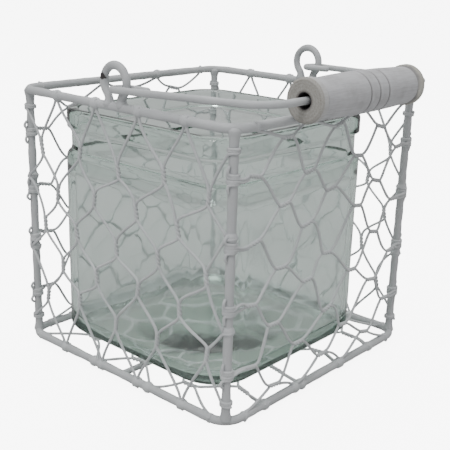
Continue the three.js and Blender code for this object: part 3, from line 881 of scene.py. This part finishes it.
def jar_outline():
    """Rings (half width, corner radius, height) of the glass's skin, from the middle of its underside,
    up the outside and down the inside to the middle of its floor."""
    body, neck, lip = JAR_BODY, JAR_NECK, JAR_LIP
    height = jar_high[2] - jar_low[2]
    rings = []

    def bend(base, centre_in, centre_z, radius, start, end, steps):
        for angle in np.linspace(start, end, steps + 1):
            inset = centre_in - radius * math.cos(angle)
            z = centre_z + radius * math.sin(angle)
            rings.append((base["half"] - inset, max(base["corner"] - inset, 1), z))

    r = body["round"]
    for share in (0.04, 0.35, 0.7, 0.93):
        rings.append((share * (body["half"] - r), share * JAR_FOOT_CORNER, 0.9 * (1 - share**6)))
    for angle in np.linspace(-math.pi / 2, 0, 13):
        out = math.cos(angle)
        corner = JAR_FOOT_CORNER + (body["corner"] - JAR_FOOT_CORNER) * out
        rings.append((body["half"] - r + r * out, corner, r + r * math.sin(angle)))
    for z in np.linspace(r, body["height"] - r, 22)[1:-1]:
        rings.append((body["half"], body["corner"], z))
    bend(body, r, body["height"] - r, r, 0, math.radians(68), 8)
    lip_z = height - lip["height"]
    ease = JAR_LIP_EASE
    rings.append((neck["half"] + 0.25, neck["corner"] + 0.25, body["height"] + 0.3))
    rings.append((neck["half"], neck["corner"], body["height"] + 1.5))
    for z in np.linspace(body["height"] + 1.5, lip_z - ease, 6)[1:]:
        rings.append((neck["half"], neck["corner"], z))
    rings.append((neck["half"] + 0.3, neck["corner"] + 0.3, lip_z - 0.35))
    bend(lip, ease, lip_z + ease, ease, -math.pi / 2 * 0.85, 0, 5)
    for z in np.linspace(lip_z + ease, height - lip["round"], 5)[1:-1]:
        rings.append((lip["half"], lip["corner"], z))
    bend(lip, lip["round"], height - lip["round"], lip["round"], 0, math.pi / 2, 7)
    mouth_half = neck["half"] - JAR_WALL
    mouth_corner = neck["corner"] - JAR_WALL
    mouth_z = height - JAR_MOUTH_ROUND
    for angle in np.linspace(math.pi / 2, math.pi, 7):
        out = JAR_MOUTH_ROUND + JAR_MOUTH_ROUND * math.cos(angle)
        rings.append((mouth_half + out, mouth_corner + out, mouth_z + JAR_MOUTH_ROUND * math.sin(angle)))
    inside_half = body["half"] - JAR_WALL
    inside_corner = body["corner"] - JAR_WALL
    shoulder = body["height"] - JAR_WALL
    for z in np.linspace(mouth_z, shoulder, 9)[1:]:
        rings.append((mouth_half, mouth_corner, z))
    for share in np.linspace(0, 1, 11)[1:]:
        ease_out = (1 - math.cos(math.pi * share)) / 2
        half_width = mouth_half + (inside_half - mouth_half) * ease_out
        corner = mouth_corner + (inside_corner - mouth_corner) * ease_out
        rings.append((half_width, corner, shoulder - JAR_SHOULDER_DROP * share))
    low = JAR_FLOOR - JAR_DOME["rise"]
    for z in np.linspace(shoulder - JAR_SHOULDER_DROP, low + JAR_HEEL["rise"], 20)[1:]:
        rings.append((inside_half, inside_corner, z))
    for angle in np.linspace(0, math.pi / 2, 13)[1:]:
        share = 1 - math.cos(angle)
        half_width = inside_half - JAR_HEEL["inset"] * share
        corner = inside_corner + (JAR_HEEL["corner"] - inside_corner) * share
        rings.append((half_width, corner, low + JAR_HEEL["rise"] * (1 - math.sin(angle))))
    square_half, square_corner, _ = rings[-1]
    reach = JAR_DOME["reach"]
    for share in (0.35, 0.7):
        rings.append((
            square_half + (reach - square_half) * share,
            square_corner + (reach - square_corner) * share,
            low,
        ))
    for radius in [*np.linspace(reach, JAR_DOME["flat"], 14), 0.5 * JAR_DOME["flat"], 1]:
        fall = max(radius - JAR_DOME["flat"], 0) / (reach - JAR_DOME["flat"])
        rings.append((radius, radius, JAR_FLOOR - JAR_DOME["rise"] * fall**2))
    return rings


def add_jar(glass):
    centre = (jar_low + jar_high) / 2
    rings = jar_outline()
    vertices = np.vstack([square_ring(*ring) for ring in rings])
    sides = len(vertices) // len(rings)
    out = vertices * (1, 1, 0)
    out /= np.maximum(np.linalg.norm(out, axis=1), 1e-6)[:, None]
    way_in = np.repeat(np.arange(len(rings)) / len(rings), sides)  # 0 at the underside, 1 at the floor
    height = np.where(way_in > 0.55, GLASS_WAVE, 0.4 * GLASS_WAVE)
    vertices = vertices + out * height[:, None] * waves(vertices, seed=8, length=34)[:, None]
    vertices = vertices + (centre[0], centre[1], jar_low[2])
    faces = grid_faces(len(rings), sides, closed=False)
    last = (len(rings) - 1) * sides
    faces.append(list(range(sides))[::-1])
    faces.append([last + side for side in range(sides)])
    jar = add_mesh("jar_glass", [(vertices, faces)], glass, "jar", "green_tinted_glass", "glass_jar")
    jar.visible_shadow = False  # the light that clear glass lets through to what is under and behind it


# ---------------------------------------------------------------- stage

def seen_directly(tree):
    """1 for what the camera sees directly, 0 for what lights the object or shows in it and through it."""
    return tree.nodes.new("ShaderNodeLightPath").outputs["Is Camera Ray"]


def add_stage():
    """A pale floor and a soft dome of light with two soft boxes. The floor and the dome are white to the
    camera alone, and a quiet grey in the glass, as the card round an object in a photographer's light tent
    is. In the glass the floor is also darker and a little green under the lantern, where it is shaded."""
    mesh = bpy.data.meshes.new("floor")
    turns = 2 * math.pi * np.arange(64) / 64
    ring = np.column_stack([FLOOR_REACH * np.cos(turns), FLOOR_REACH * np.sin(turns), np.zeros(64)])
    mesh.from_pydata(ring.tolist(), [], [list(range(64))])
    floor = bpy.data.objects.new("floor", mesh)
    floor.location.z = -0.2 * MM
    bpy.context.scene.collection.objects.link(floor)
    material, tree, shader = new_material("pale_floor")
    direct = seen_directly(tree)
    place = object_place(tree)
    open_tone = ramp(tree, noise_at(tree, place, 3, 3), [(0.3, 0.46), (0.7, 0.5)])
    away = add_node(tree, "ShaderNodeVectorMath", operation="LENGTH")
    tree.links.new(place, away.inputs[0])
    shade = ramp(tree, maths(tree, "MULTIPLY", away.outputs["Value"], 5), [(0.2, 1.0), (0.45, 0.0)])
    tone = mix(tree, shade, open_tone, FLOOR_SHADE)
    tree.links.new(mix(tree, direct, tone, FLOOR_WHITE), shader.inputs["Base Color"])
    shader.inputs["Roughness"].default_value = 0.9
    shader.inputs["Specular IOR Level"].default_value = 0.1
    shader.inputs["Emission Color"].default_value = (1, 1, 1, 1)
    tree.links.new(maths(tree, "MULTIPLY", direct, FLOOR_GLOW), shader.inputs["Emission Strength"])
    mesh.materials.append(material)

    world = bpy.data.worlds.new("soft_dome")
    bpy.context.scene.world = world
    world.use_nodes = True
    tree = world.node_tree
    background = next(node for node in tree.nodes if node.type == "BACKGROUND")
    parts = tree.nodes.new("ShaderNodeSeparateXYZ")
    tree.links.new(tree.nodes.new("ShaderNodeTexCoord").outputs["Generated"], parts.inputs[0])
    dome = ramp(tree, parts.outputs["Z"], [(0.0, 0.52), (0.3, 0.6), (1.0, 1.0)])
    direct = seen_directly(tree)
    tree.links.new(mix(tree, direct, dome, (1, 1, 1)), background.inputs["Color"])
    glow = maths(tree, "MULTIPLY", direct, BACKDROP_GLOW - DOME_STRENGTH)
    strength = maths(tree, "ADD", glow, DOME_STRENGTH)
    tree.links.new(strength, background.inputs["Strength"])

    for name, place, size, power in SOFT_BOXES:
        data = bpy.data.lights.new(name, "AREA")
        data.size = size
        data.energy = power
        light = bpy.data.objects.new(name, data)
        light.location = place
        light.rotation_euler = (SOFT_BOX_AIM - Vector(place)).to_track_quat("-Z", "Y").to_euler()
        bpy.context.scene.collection.objects.link(light)


def main():
    add_camera()
    ear_low, ear_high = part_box("bail_ear_left")
    ear_x = (ear_low.x + ear_high.x) / 2
    chip = Vector((ear_x - 1.2 * MM, ear_high.y - 2.4 * MM, ear_low.z + 0.6 * (ear_high.z - ear_low.z)))
    wire_paint = paint_material("painted_wire", WIRE_TONE)
    chipped_paint = paint_material("painted_wire_chipped", WIRE_TONE, chip)
    netting_paint = paint_material("painted_netting", NETTING_TONE)
    add_frame_wires(wire_paint, chipped_paint)
    add_bail(wire_paint)
    add_grip(wood_material())
    add_netting(netting_paint)
    add_jar(glass_material())
    add_stage()


main()

import json
